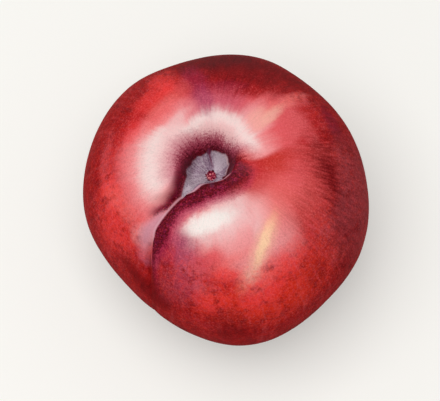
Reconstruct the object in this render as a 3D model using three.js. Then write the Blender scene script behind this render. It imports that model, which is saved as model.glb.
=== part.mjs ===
// A ripe red dessert plum, picked with no stalk and resting on its blossom end.
//
// The whole fruit is one closed body. Its surface is written as a formula of two angles:
// "polar", measured from the stem pit (0) to the resting spot (180), and "around", measured
// from the suture, the crease that runs from the pit down the fruit and parts its two cheeks.
// Millimetres and degrees, +Z up. The origin is the centre of the resting spot. Headings are
// anticlockwise from +X, seen from above: the suture leaves the pit towards the front left,
// the far cheek lies behind it (+Y) and the near cheek in front of it (-Y).

import * as THREE from "three";

// ---- Driving dimensions ----

// A pair in square brackets is where something begins and ends: two polar angles, or two
// reaches, which are distances from the stem.

const GIRTH_RADIUS = 29.2; // mean radius at the widest height
const GIRTH_HEIGHT = 24; // widest height above the resting spot
const CROWN_RISE = 26; // from the girth to the top that the crown would have with no hollow
const BASE_DROP = 24.35; // from the girth to the base, of which a little is pressed flat
const CROWN_FULLNESS = 2.3; // superellipse exponents: 2 is an ellipse, more is fuller
const BASE_FULLNESS = 2.2;

// Seen from above the girth is a rounded, uneven pentagon: [waves, share of radius, heading]
const GIRTH_WAVES = [
  [2, 0.032, 130],
  [3, 0.0175, 43],
  [4, 0.0135, -3],
  [5, 0.0075, -12.5],
  [6, 0.0026, 24],
  [7, 0.0066, -21],
];

const WAVES_GROW = [4, 45]; // the fruit is round at the stem and again at the base
const WAVES_FADE = [120, 172];

const STEM_OFFSET_X = -2.6; // the stem scar sits a little left of the fruit's middle
const OFFSET_FADE = [12, 80];
const CROWN_FADE = [60, 100]; // what lies round the pit ends here, at the girth

// The suture isn't quite a meridian: its heading at the pit, and its swings on the way down.
const SUTURE_PATH = { heading: 228, sideSwing: 8, sideTurn: [38, 85], baseSwing: 4, baseTurn: [90, 150] };

const PIT = {
  depth: 8.3,
  radius: 4.6,
  stretch: 1.3, // the pit is wider by this much at its widest heading
  widestHeading: 140,
  wallPower: 2.8, // slope of the far wall, and what the overhung near wall adds
  nearWallPower: 2.6,
};
const DIP = {
  depth: 1.9,
  nearDepth: 1.6, // what the near cheek's side adds to the depth, from this reach on
  nearStart: [0, 4],
  radius: 8.5,
  stretch: 1.85,
  nearStretch: 2.4,
  power: 2.4,
};
const NEAR_HEADING = -60; // the middle of the near cheek, at the pit
const NEAR_WIDTH = 60;
const NEAR_CROWN = { rise: 1.2, heading: 305, width: 60, reach: 14.5, reachWidth: 7.5 };

const SUTURE = {
  troughDepth: 4.6, // the fold beside the pit, where the near cheek overlaps the far one
  troughStart: [2.5, 6.5], // reaches from the stem between which the fold deepens
  troughEnd: [8, 20], // and between which it runs out
  flankWidth: 2.6, // of the fold's floor on the far side, pinched in round one reach
  flankPinch: 2.0,
  pinchReach: 11,
  pinchWidth: 3.2,
  flankSlope: 2.8,
  wallShare: 0.6, // of the trough's depth that ends in the steep near wall; the rest is rounded
  wallWidth: 1,
  roundWidth: 3.2,
  creaseWidth: 0.9,
  crownCrease: 0.5, // depth of the fine crease on the crown
  crownStart: [4, 8],
  crownEnd: [45, 90],
  sideCrease: 0.22, // and its depth on the fruit's side
  sideStart: [40, 70],
  sideEnd: [120, 165],
  facing: 0.3, // it acts on its own side of the stem, in full where cos(around) passes this
  steepness: 0.9, // 1 presses straight in towards the fruit's heart, less leans towards level
};
const LIP = {
  lean: 1.25,
  heading: 130,
  inset: 2.0, // the lean is greatest this far inside the edge
  width: 1.9,
  rimReach: 2.6, // the edge's reach where it runs round the pit
  blend: 1.2,
  start: [2.5, 6],
  end: [45, 80],
  roundEnd: [120, 170], // where it ends round the pit, in degrees from the suture
};
const VALLEY = {
  depth: 1.8,
  heading: -13,
  farWidth: 22,
  nearWidth: 62,
  start: [1, 5],
  reach: 9.5,
  reachWidth: 6.5,
};
const WALL_CREASE = { depth: 0.5, heading: 98, width: 0.35, reach: 4.2, reachWidth: 1.9 };

const COLUMNS = 84; // round the fruit, closer together near the suture
const SUTURE_CROWDING = 0.6;
const RINGS = 48; // from the stem to the resting spot, closer together in the pit
const PIT_CROWDING = 1.7;

// ---- Small helpers ----

const toRadians = THREE.MathUtils.degToRad;
const rise = ([from, to], value) => THREE.MathUtils.smoothstep(value, from, to);
const fall = (span, value) => 1 - rise(span, value);
const bell = (offset, width) => Math.exp(-((offset / width) ** 2));
const wrapTurn = (angle) => THREE.MathUtils.euclideanModulo(angle + 180, 360) - 180;

// ---- The surface ----

// The heading at which the suture lies, a little further round on the side and at the base.
function sutureHeading(polar) {
  const { heading, sideSwing, sideTurn, baseSwing, baseTurn } = SUTURE_PATH;
  return heading + sideSwing * rise(sideTurn, polar) + baseSwing * rise(baseTurn, polar);
}

// Share by which the girth's waves widen or narrow the fruit at a heading.
function girthWave(heading) {
  let share = 0;
  for (const [waves, size, crest] of GIRTH_WAVES) {
    share += size * Math.cos(waves * toRadians(heading - crest));
  }
  return share;
}

// The smooth fruit with no hollow or crease: distance from its axis, and height.
function bodyProfile(polar, heading) {
  const crown = polar < 90;
  const power = 2 / (crown ? CROWN_FULLNESS : BASE_FULLNESS);
  const waves = girthWave(heading) * rise(WAVES_GROW, polar) * fall(WAVES_FADE, polar);
  const reach = GIRTH_RADIUS * Math.sin(toRadians(polar)) ** power * (1 + waves);
  const share = Math.abs(Math.cos(toRadians(polar))) ** power;
  const height = GIRTH_HEIGHT + share * (crown ? CROWN_RISE : -BASE_DROP);
  return { reach, height };
}

// 1 at the middle of the near cheek, falling away to each side.
function nearness(heading) {
  return bell(wrapTurn(heading - NEAR_HEADING), NEAR_WIDTH);
}

// How far the stem pit and the wide dip round it lower the crown.
function stemHollow(reach, heading) {
  const near = nearness(heading);
  const wide = Math.cos(toRadians(heading - PIT.widestHeading));
  const pitRadius = PIT.radius + PIT.stretch * wide;
  const pitPower = PIT.wallPower + PIT.nearWallPower * near;
  const pit = PIT.depth * Math.exp(-((reach / pitRadius) ** pitPower));
  const dipRadius = DIP.radius + DIP.stretch * wide + DIP.nearStretch * near;
  const dipDepth = DIP.depth + DIP.nearDepth * near * rise(DIP.nearStart, reach);
  return pit + dipDepth * Math.exp(-((reach / dipRadius) ** DIP.power));
}

// The near cheek's crown stands a little prouder than the far one's.
function nearCrown(reach, heading) {
  const facing = bell(wrapTurn(heading - NEAR_CROWN.heading), NEAR_CROWN.width);
  return NEAR_CROWN.rise * facing * bell(reach - NEAR_CROWN.reach, NEAR_CROWN.reachWidth);
}

// The shallow valley that leaves the pit to the right and parts the two crowns there.
function rightValley(reach, heading) {
  const turn = wrapTurn(heading - VALLEY.heading);
  const facing = bell(turn, turn > 0 ? VALLEY.farWidth : VALLEY.nearWidth);
  const along = bell(reach - VALLEY.reach, VALLEY.reachWidth) * rise(VALLEY.start, reach);
  return VALLEY.depth * facing * along;
}

// The short crease down the far wall of the pit.
function wallCrease(reach, heading) {
  const beside = reach * toRadians(wrapTurn(heading - WALL_CREASE.heading));
  const sharp = Math.exp(-Math.abs(beside) / WALL_CREASE.width);
  return WALL_CREASE.depth * sharp * bell(reach - WALL_CREASE.reach, WALL_CREASE.reachWidth);
}

// How deep the suture presses the surface in. "beside" is the distance from its line, positive
// on the near cheek, whose edge is steep; the far cheek slopes gently down to it.
function sutureDepth(reach, beside, polar) {
  const deep = rise(SUTURE.troughStart, reach) * fall(SUTURE.troughEnd, reach) * fall(CROWN_FADE, polar);
  const pinch = SUTURE.flankPinch * bell(reach - SUTURE.pinchReach, SUTURE.pinchWidth);
  const floor = SUTURE.flankWidth - pinch;
  const farFlank = fall([floor, floor + SUTURE.flankSlope], -beside);
  const wall = SUTURE.wallShare * fall([0, SUTURE.wallWidth], beside);
  const nearFlank = wall + (1 - SUTURE.wallShare) * bell(beside, SUTURE.roundWidth);
  const trough = SUTURE.troughDepth * deep * (beside < 0 ? farFlank : nearFlank);
  const onCrown = rise(SUTURE.crownStart, reach) * fall(SUTURE.crownEnd, polar);
  const onSide = rise(SUTURE.sideStart, polar) * fall(SUTURE.sideEnd, polar);
  const crease = SUTURE.crownCrease * onCrown + SUTURE.sideCrease * onSide;
  return trough + crease * Math.exp(-Math.abs(beside) / SUTURE.creaseWidth);
}

// How far the near cheek's edge leans out over the suture and the pit.
function lipLean(reach, beside, polar, around, heading) {
  if (around <= 0) {
    return 0;
  }
  const fromSuture = around < 90 ? beside : reach;
  const fromPit = reach - LIP.rimReach;
  const crowd = Math.exp(-LIP.blend * fromSuture) + Math.exp(-LIP.blend * fromPit);
  const inside = -Math.log(crowd) / LIP.blend;
  const extent = rise(LIP.start, reach) * fall(LIP.end, polar) * fall(LIP.roundEnd, around);
  return LIP.lean * bell(inside - LIP.inset, LIP.width) * Math.sqrt(nearness(heading)) * extent;
}

// The finished surface: a point for each pair of angles, "around" from -180 to 180.
function surfacePoint(polar, around) {
  const heading = sutureHeading(polar) + around;
  const { reach, height } = bodyProfile(polar, heading);
  const beside = reach * Math.sin(toRadians(around));
  const facingSuture = rise([0, SUTURE.facing], Math.cos(toRadians(around)));
  const pressed = sutureDepth(reach, beside, polar) * facingSuture;
  const lean = lipLean(reach, beside, polar, around, heading);

  const level = Math.sin(toRadians(polar));
  const inward = new THREE.Vector2(level, SUTURE.steepness * Math.cos(toRadians(polar))).normalize();
  const outward = reach - pressed * inward.x;
  const offset = STEM_OFFSET_X * fall(OFFSET_FADE, polar);
  const x = outward * Math.cos(toRadians(heading)) + offset + lean * Math.cos(toRadians(LIP.heading));
  const y = outward * Math.sin(toRadians(heading)) + lean * Math.sin(toRadians(LIP.heading));
  const hollows = stemHollow(reach, heading) + rightValley(reach, heading) + wallCrease(reach, heading);
  const relief = (nearCrown(reach, heading) - hollows) * fall(CROWN_FADE, polar);
  const z = height + relief - pressed * inward.y;
  return new THREE.Vector3(x, y, Math.max(z, 0));
}

// ---- The mesh ----

// The polar angle at which the base meets the surface it rests on.
function restingPolar() {
  const share = (GIRTH_HEIGHT / BASE_DROP) ** (BASE_FULLNESS / 2);
  return 180 - THREE.MathUtils.radToDeg(Math.acos(share));
}

function columnAngle(column) {
  const turn = (2 * Math.PI * column) / COLUMNS;
  return wrapTurn(THREE.MathUtils.radToDeg(turn - SUTURE_CROWDING * Math.sin(turn)));
}

function ringPolar(ring) {
  return restingPolar() * (ring / RINGS) ** PIT_CROWDING;
}

// Two triangles on four corners, split along the shorter diagonal.
function pushQuad(triangles, points, a, b, c, d) {
  if (points[a].distanceTo(points[c]) < points[b].distanceTo(points[d])) {
    triangles.push(a, b, c, a, c, d);
  } else {
    triangles.push(a, b, d, b, c, d);
  }
}

// Rings of points from the stem to the rim of the flat resting spot, closed by a fan of
// triangles at the stem and another across the spot.
function plumGeometry() {
  const points = [];
  for (let ring = 1; ring <= RINGS; ring += 1) {
    for (let column = 0; column < COLUMNS; column += 1) {
      const point = surfacePoint(ringPolar(ring), columnAngle(column));
      if (ring === RINGS) {
        point.z = 0;
      }
      points.push(point);
    }
  }
  const stem = points.length;
  points.push(surfacePoint(0, 0));
  const rest = points.length;
  points.push(new THREE.Vector3(0, 0, 0));

  const triangles = [];
  for (let column = 0; column < COLUMNS; column += 1) {
    const next = (column + 1) % COLUMNS;
    triangles.push(stem, column, next);
    for (let start = 0; start < (RINGS - 1) * COLUMNS; start += COLUMNS) {
      const below = start + COLUMNS;
      pushQuad(triangles, points, start + column, below + column, below + next, start + next);
    }
    const rim = (RINGS - 1) * COLUMNS;
    triangles.push(rest, rim + next, rim + column);
  }

  const geometry = new THREE.BufferGeometry().setFromPoints(points);
  geometry.setIndex(triangles);
  geometry.computeVertexNormals();
  return geometry;
}

// ---- The part ----

const skin = new THREE.MeshStandardMaterial({ color: 0x9e1f2b, roughness: 0.38, metalness: 0 });

const fruit = new THREE.Mesh(plumGeometry(), skin);
fruit.name = "plum";

const part = new THREE.Group();
part.add(fruit);

export default part;
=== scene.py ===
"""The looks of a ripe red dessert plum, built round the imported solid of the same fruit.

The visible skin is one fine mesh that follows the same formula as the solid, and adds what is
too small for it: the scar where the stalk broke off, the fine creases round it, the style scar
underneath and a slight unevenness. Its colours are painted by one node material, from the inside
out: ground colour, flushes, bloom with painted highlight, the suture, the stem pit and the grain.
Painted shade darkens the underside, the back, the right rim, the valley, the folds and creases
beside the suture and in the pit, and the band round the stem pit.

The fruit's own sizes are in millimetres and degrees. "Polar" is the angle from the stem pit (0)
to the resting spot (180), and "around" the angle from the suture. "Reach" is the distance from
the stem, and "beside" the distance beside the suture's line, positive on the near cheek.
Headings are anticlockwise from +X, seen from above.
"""

import math
from types import SimpleNamespace as Named

import bpy
import numpy as np
from mathutils import Matrix, Vector, noise


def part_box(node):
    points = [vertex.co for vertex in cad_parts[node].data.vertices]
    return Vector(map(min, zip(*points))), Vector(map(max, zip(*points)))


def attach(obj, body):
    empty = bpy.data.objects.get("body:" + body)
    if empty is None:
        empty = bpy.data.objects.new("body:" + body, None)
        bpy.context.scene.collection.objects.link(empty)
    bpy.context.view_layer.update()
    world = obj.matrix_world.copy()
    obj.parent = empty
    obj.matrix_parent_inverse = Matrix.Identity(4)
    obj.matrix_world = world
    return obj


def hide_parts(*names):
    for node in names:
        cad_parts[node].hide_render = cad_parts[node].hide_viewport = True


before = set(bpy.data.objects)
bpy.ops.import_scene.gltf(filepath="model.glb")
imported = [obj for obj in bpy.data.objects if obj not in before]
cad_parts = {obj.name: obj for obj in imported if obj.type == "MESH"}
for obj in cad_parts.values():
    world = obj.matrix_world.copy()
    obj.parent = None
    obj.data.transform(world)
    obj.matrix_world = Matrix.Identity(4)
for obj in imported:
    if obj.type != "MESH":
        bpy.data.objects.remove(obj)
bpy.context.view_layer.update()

MM = 0.001

# ---- The fruit's shape, as in the solid ----

# A pair is where something begins and ends: two polar angles, or two reaches.

GIRTH_RADIUS = 29.2  # mean radius at the widest height
GIRTH_HEIGHT = 24  # widest height above the resting spot
CROWN_RISE = 26  # from the girth to the top that the crown would have with no hollow
BASE_DROP = 24.35
CROWN_FULLNESS = 2.3  # superellipse exponents: 2 is an ellipse, more is fuller
BASE_FULLNESS = 2.2

# Seen from above the girth is a rounded, uneven pentagon: waves, share of radius, heading.
GIRTH_WAVES = [
    (2, 0.032, 130),
    (3, 0.0175, 43),
    (4, 0.0135, -3),
    (5, 0.0075, -12.5),
    (6, 0.0026, 24),
    (7, 0.0066, -21),
]
WAVES_GROW = (4, 45)
WAVES_FADE = (120, 172)

STEM_OFFSET_X = -2.6
OFFSET_FADE = (12, 80)
CROWN_FADE = (60, 100)  # what lies round the pit ends here, at the girth

SUTURE_PATH = Named(heading=228, side_swing=8, side_turn=(38, 85), base_swing=4, base_turn=(90, 150))

PIT = Named(
    depth=8.3, radius=4.6, stretch=1.3, widest_heading=140, wall_power=2.8, near_wall_power=2.6,
)
DIP = Named(
    depth=1.9, near_depth=1.6, near_start=(0, 4), radius=8.5, stretch=1.85, near_stretch=2.4, power=2.4,
)
NEAR_HEADING = -60  # the middle of the near cheek, at the pit
NEAR_WIDTH = 60
NEAR_CROWN = Named(rise=1.2, heading=305, width=60, reach=14.5, reach_width=7.5)
SUTURE = Named(
    # the trough beside the pit, where the near cheek overlaps the far one
    trough_depth=4.6, trough_start=(2.5, 6.5), trough_end=(8, 20),
    flank_width=2.6, flank_pinch=2.0, pinch_reach=11, pinch_width=3.2, flank_slope=2.8,
    wall_share=0.6, wall_width=1, round_width=3.2,
    # the fine crease all along it
    crease_width=0.9, crown_crease=0.5, crown_start=(4, 8), crown_end=(45, 90),
    side_crease=0.22, side_start=(40, 70), side_end=(120, 165),
    facing=0.3, steepness=0.9,
)
LIP = Named(
    lean=1.25, heading=130, inset=2.0, width=1.9, rim_reach=2.6,
    blend=1.2, blend_limits=(-5, 40),  # which keep the blend's exponentials finite
    start=(2.5, 6), end=(45, 80), round_end=(120, 170),
)
VALLEY = Named(
    depth=1.8, heading=-13, far_width=22, near_width=62, start=(1, 5), reach=9.5, reach_width=6.5,
)
WALL_CREASES = [
    Named(depth=0.5, heading=98, width=0.35, reach=4.2, reach_width=1.9),
    Named(depth=0.3, heading=84, width=0.35, reach=4.2, reach_width=1.9),
]

RINGS = 198
PIT_CROWDING = 1.75  # rings lie closer together in the pit, and a little at the blossom end
BASE_CROWDING = 1.2
COLUMNS = 480
SUTURE_CROWDING = 0.6


def rise(span, value):
    """0 before the span, 1 after it, and a smooth step between."""
    start, end = span
    t = np.clip((value - start) / (end - start), 0, 1)
    return t * t * (3 - 2 * t)


def fall(span, value):
    return 1 - rise(span, value)


def bell(offset, width):
    return np.exp(-((offset / width) ** 2))


def cosine(angle):
    return np.cos(np.radians(angle))


def sine(angle):
    return np.sin(np.radians(angle))


def wrap_turn(angle):
    return (angle + 180) % 360 - 180


def suture_heading(polar):
    side = SUTURE_PATH.side_swing * rise(SUTURE_PATH.side_turn, polar)
    base = SUTURE_PATH.base_swing * rise(SUTURE_PATH.base_turn, polar)
    return SUTURE_PATH.heading + side + base


def body_profile(polar, heading):
    """The smooth fruit with no hollow or crease: distance from its axis, and height."""
    crown = polar < 90
    power = np.where(crown, 2 / CROWN_FULLNESS, 2 / BASE_FULLNESS)
    waves = sum(size * cosine(count * (heading - crest)) for count, size, crest in GIRTH_WAVES)
    waves = waves * rise(WAVES_GROW, polar) * fall(WAVES_FADE, polar)
    reach = GIRTH_RADIUS * sine(polar) ** power * (1 + waves)
    share = np.abs(cosine(polar)) ** power
    height = GIRTH_HEIGHT + share * np.where(crown, CROWN_RISE, -BASE_DROP)
    return reach, height


def nearness(heading):
    """1 at the middle of the near cheek, falling away to each side."""
    return bell(wrap_turn(heading - NEAR_HEADING), NEAR_WIDTH)


def stem_hollow(reach, heading):
    """How far the stem pit and the wide dip round it lower the crown."""
    near = nearness(heading)
    wide = cosine(heading - PIT.widest_heading)
    pit_power = PIT.wall_power + PIT.near_wall_power * near
    pit = PIT.depth * np.exp(-((reach / (PIT.radius + PIT.stretch * wide)) ** pit_power))
    dip_radius = DIP.radius + DIP.stretch * wide + DIP.near_stretch * near
    dip_depth = DIP.depth + DIP.near_depth * near * rise(DIP.near_start, reach)
    return pit + dip_depth * np.exp(-((reach / dip_radius) ** DIP.power))


def near_crown(reach, heading):
    facing = bell(wrap_turn(heading - NEAR_CROWN.heading), NEAR_CROWN.width)
    return NEAR_CROWN.rise * facing * bell(reach - NEAR_CROWN.reach, NEAR_CROWN.reach_width)


def right_valley(reach, heading):
    turn = wrap_turn(heading - VALLEY.heading)
    facing = bell(turn, np.where(turn > 0, VALLEY.far_width, VALLEY.near_width))
    along = bell(reach - VALLEY.reach, VALLEY.reach_width) * rise(VALLEY.start, reach)
    return VALLEY.depth * facing * along


def wall_crease(crease, reach, heading):
    """A short crease down the far wall of the pit."""
    beside = reach * np.radians(wrap_turn(heading - crease.heading))
    sharp = np.exp(-np.abs(beside) / crease.width)
    return crease.depth * sharp * bell(reach - crease.reach, crease.reach_width)


def suture_depth(reach, beside, polar):
    deep = rise(SUTURE.trough_start, reach) * fall(SUTURE.trough_end, reach) * fall(CROWN_FADE, polar)
    floor = SUTURE.flank_width - SUTURE.flank_pinch * bell(reach - SUTURE.pinch_reach, SUTURE.pinch_width)
    far_flank = fall((floor, floor + SUTURE.flank_slope), -beside)
    wall = SUTURE.wall_share * fall((0, SUTURE.wall_width), beside)
    near_flank = wall + (1 - SUTURE.wall_share) * bell(beside, SUTURE.round_width)
    trough = SUTURE.trough_depth * deep * np.where(beside < 0, far_flank, near_flank)
    on_crown = rise(SUTURE.crown_start, reach) * fall(SUTURE.crown_end, polar)
    on_side = rise(SUTURE.side_start, polar) * fall(SUTURE.side_end, polar)
    crease = SUTURE.crown_crease * on_crown + SUTURE.side_crease * on_side
    return trough + crease * np.exp(-np.abs(beside) / SUTURE.crease_width)


def lip_inside(reach, beside, around):
    """Distance inside the near cheek's edge, which runs along the suture and round the pit."""
    from_suture = np.clip(np.where(around < 90, beside, reach), *LIP.blend_limits)
    crowd = np.exp(-LIP.blend * from_suture) + np.exp(-LIP.blend * (reach - LIP.rim_reach))
    far = np.where(around > -90, beside, -reach)
    return np.where(around > 0, -np.log(crowd) / LIP.blend, far)


def lip_lean(reach, beside, polar, around, heading):
    """How far the near cheek's edge leans out over the suture and the pit."""
    inside = lip_inside(reach, beside, around)
    extent = rise(LIP.start, reach) * fall(LIP.end, polar) * fall(LIP.round_end, around)
    lean = LIP.lean * bell(inside - LIP.inset, LIP.width) * np.sqrt(nearness(heading)) * extent
    return lean * (around > 0)


def surface(polar, around):
    """Points of the skin, and the reach and the distance beside the suture at each."""
    heading = suture_heading(polar) + around
    reach, height = body_profile(polar, heading)
    beside = reach * sine(around)
    facing_suture = rise((0, SUTURE.facing), cosine(around))
    pressed = suture_depth(reach, beside, polar) * facing_suture
    lean = lip_lean(reach, beside, polar, around, heading)
    inward_r, inward_z = sine(polar), SUTURE.steepness * cosine(polar)
    length = np.hypot(inward_r, inward_z)
    outward = reach - pressed * inward_r / length
    offset = STEM_OFFSET_X * fall(OFFSET_FADE, polar)
    x = outward * cosine(heading) + offset + lean * cosine(LIP.heading)
    y = outward * sine(heading) + lean * sine(LIP.heading)
    hollows = stem_hollow(reach, heading) + right_valley(reach, heading)
    hollows = hollows + sum(wall_crease(crease, reach, heading) for crease in WALL_CREASES)
    relief = (near_crown(reach, heading) - hollows) * fall(CROWN_FADE, polar)
    z = height + relief - pressed * inward_z / length
    return np.stack([x, y, np.maximum(z, 0)], -1), reach, beside


# ---- Fine relief, only in the visible skin ----

# A noise or grit has a size, the width of its bumps, and a height.

SCAR = Named(
    place=(-3.35, -0.55),  # its middle, seen from above
    radius=1.0, rim_height=0.16, rim_width=0.22, rim_grit=0.35, rim_unevenness=0.6,
    core_drop=0.2, core_grit=0.3, core_grit_height=0.22, core_end=(0.6, 1.0),
)
HAIRLINES = Named(height=0.07, spokes=7, along=0.12, size=1.0, start=(1.1, 1.8), end=(4.5, 7.5))
STYLE = Named(
    top=GIRTH_HEIGHT / 4,  # all of it lies below this height
    dimple_depth=0.5, dimple_width=1.9, tip_height=0.35, tip_width=0.35, tip_grit=0.25, tip_unevenness=0.5,
)
UNEVENNESS = Named(
    broad_size=11, broad_height=0.16, fine_size=4, fine_height=0.035,
    broad_shift=31,  # sets the broad noise apart from the fine one
    start=(8, 25), end=(140, 160),
)


def noise_at(points, size):
    """Smooth noise from -1 to 1 at each point, with bumps of about the given size."""
    return np.array([noise.noise(Vector(p)) for p in (points / size).tolist()])


def stem_relief(points):
    """The broken end of the stalk and the hairline creases that run to it, above the pit floor."""
    east = points[:, 0] - SCAR.place[0]
    north = points[:, 1] - SCAR.place[1]
    away = np.hypot(east, north)
    in_pit = points[:, 2] > GIRTH_HEIGHT
    turn = np.arctan2(north, east)
    count = HAIRLINES.spokes
    spokes = np.stack([np.cos(turn) * count, np.sin(turn) * count, away * HAIRLINES.along], -1)
    hairlines = noise_at(spokes, HAIRLINES.size) * HAIRLINES.height
    hairlines = hairlines * rise(HAIRLINES.start, away) * fall(HAIRLINES.end, away)
    rim = SCAR.rim_height * bell(away - SCAR.radius, SCAR.rim_width)
    rim = rim * (1 + SCAR.rim_unevenness * noise_at(points, SCAR.rim_grit))
    core = SCAR.core_grit_height * noise_at(points, SCAR.core_grit) - SCAR.core_drop
    return (hairlines + rim + core * fall(SCAR.core_end, away)) * in_pit


def base_relief(points):
    """The dimple at the blossom end, with the dry tip that the style left in it."""
    away = np.hypot(points[:, 0], points[:, 1])
    dimple = -STYLE.dimple_depth * bell(away, STYLE.dimple_width)
    tip = STYLE.tip_height * bell(away, STYLE.tip_width)
    tip = tip * (1 + STYLE.tip_unevenness * noise_at(points, STYLE.tip_grit))
    return (dimple + tip) * (points[:, 2] < STYLE.top)


def unevenness(points, polar):
    broad = noise_at(points + UNEVENNESS.broad_shift, UNEVENNESS.broad_size) * UNEVENNESS.broad_height
    fine = noise_at(points, UNEVENNESS.fine_size) * UNEVENNESS.fine_height
    return (broad + fine) * rise(UNEVENNESS.start, polar) * fall(UNEVENNESS.end, polar)


def ring_polar(ring):
    share = (ring / (RINGS + 1)) ** PIT_CROWDING
    return 180 * (1 - (1 - share) ** BASE_CROWDING)


def grid_normals(points):
    """Outward normals of a grid of points, rings down and columns round."""
    down = np.gradient(points, axis=0)
    across = np.roll(points, -1, axis=1) - np.roll(points, 1, axis=1)
    normals = np.cross(down, across)
    return normals / np.linalg.norm(normals, axis=2, keepdims=True)


def add_place(mesh, name, first, second, third):
    """Stores three values for each point of the mesh, where the material can read them."""
    rows = np.stack([first.ravel(), second.ravel(), third.ravel()], -1)
    rows = np.vstack([rows, rows[:COLUMNS].mean(axis=0), rows[-COLUMNS:].mean(axis=0)])
    layer = mesh.attributes.new(name, "FLOAT_VECTOR", "POINT")
    layer.data.foreach_set("vector", rows.astype(np.float32).ravel())


def skin_faces(stem, rest):
    """Quads between the rings, closed by a fan at the stem and another at the resting spot."""
    rim = (RINGS - 1) * COLUMNS
    faces = []
    for here in range(COLUMNS):
        there = (here + 1) % COLUMNS
        faces.append((stem, here, there))
        for start in range(0, rim, COLUMNS):
            low = start + COLUMNS
            faces.append((start + here, low + here, low + there, start + there))
        faces.append((rest, rim + there, rim + here))
    return faces


def skin_mesh():
    ring = np.arange(1, RINGS + 1)
    turn = 2 * np.pi * np.arange(COLUMNS) / COLUMNS
    column_angle = wrap_turn(np.degrees(turn - SUTURE_CROWDING * np.sin(turn)))
    polar, around = np.meshgrid(ring_polar(ring), column_angle, indexing="ij")
    grid, reach, beside = surface(polar, around)
    normals = grid_normals(grid).reshape(-1, 3)
    flat = grid.reshape(-1, 3)
    height = stem_relief(flat) + base_relief(flat) + unevenness(flat, polar.ravel())
    flat = flat + normals * height[:, None]
    flat[:, 2] = np.maximum(flat[:, 2], 0)
    top = flat[:COLUMNS].mean(axis=0)
    bottom = flat[-COLUMNS:].mean(axis=0)
    points = np.vstack([flat, top, bottom]) * MM

    mesh = bpy.data.meshes.new("plum_skin")
    mesh.from_pydata(points.tolist(), [], skin_faces(len(flat), len(flat) + 1))
    mesh.update()
    mesh.polygons.foreach_set("use_smooth", [True] * len(mesh.polygons))

    # Where each point lies, for the material: reach, beside and polar angle; a direction that
    # changes round the fruit but hardly down it; and the turn from the suture, as its cosine and
    # sine, with the distance inside the near cheek's edge.
    heading = np.radians(suture_heading(polar) + around)
    add_place(mesh, "lie", reach, beside, polar)
    add_place(mesh, "grain", np.cos(heading), np.sin(heading), np.radians(polar))
    turn = np.radians(around)
    add_place(mesh, "turn", np.cos(turn), np.sin(turn), lip_inside(reach, beside, around))
    return mesh


# ---- Colours ----


def tint(red, green, blue):
    """A linear colour from the 0 to 255 values that a paint chart gives."""
    parts = [c / 255 for c in (red, green, blue)]
    return tuple(c / 12.92 if c <= 0.04045 else ((c + 0.055) / 1.055) ** 2.4 for c in parts) + (1.0,)


NIGHT = tint(64, 0, 10)
GARNET = tint(118, 2, 8)
BLOOD = tint(158, 3, 6)
CARMINE = tint(186, 26, 28)
SCARLET = tint(202, 62, 62)
VERMILION = tint(192, 38, 24)
POPPY = tint(242, 60, 58)
EMBER = tint(228, 46, 22)
CORAL = tint(240, 112, 108)
ROSE = tint(226, 88, 92)
PETAL = tint(238, 150, 150)
MAUVE = tint(188, 86, 108)
CLARET = tint(176, 48, 70)
DAMSON = tint(150, 28, 62)
HEATHER = tint(160, 60, 94)
VIOLET = tint(112, 14, 56)
SHADE = tint(104, 72, 98)
MULBERRY = tint(102, 3, 20)
UMBER = tint(146, 54, 60)
SHELL = tint(234, 190, 188)
# near white of the bloom and of the painted highlight on it
BLOOM_AND_HIGHLIGHT_WHITE = tint(240, 230, 224)
APRICOT = tint(244, 176, 158)
HONEY = tint(255, 208, 168)
DUSK = tint(208, 154, 166)
LILAC = tint(190, 174, 184)
SLATE = tint(140, 110, 132)
STRAW = tint(158, 120, 92)


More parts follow.
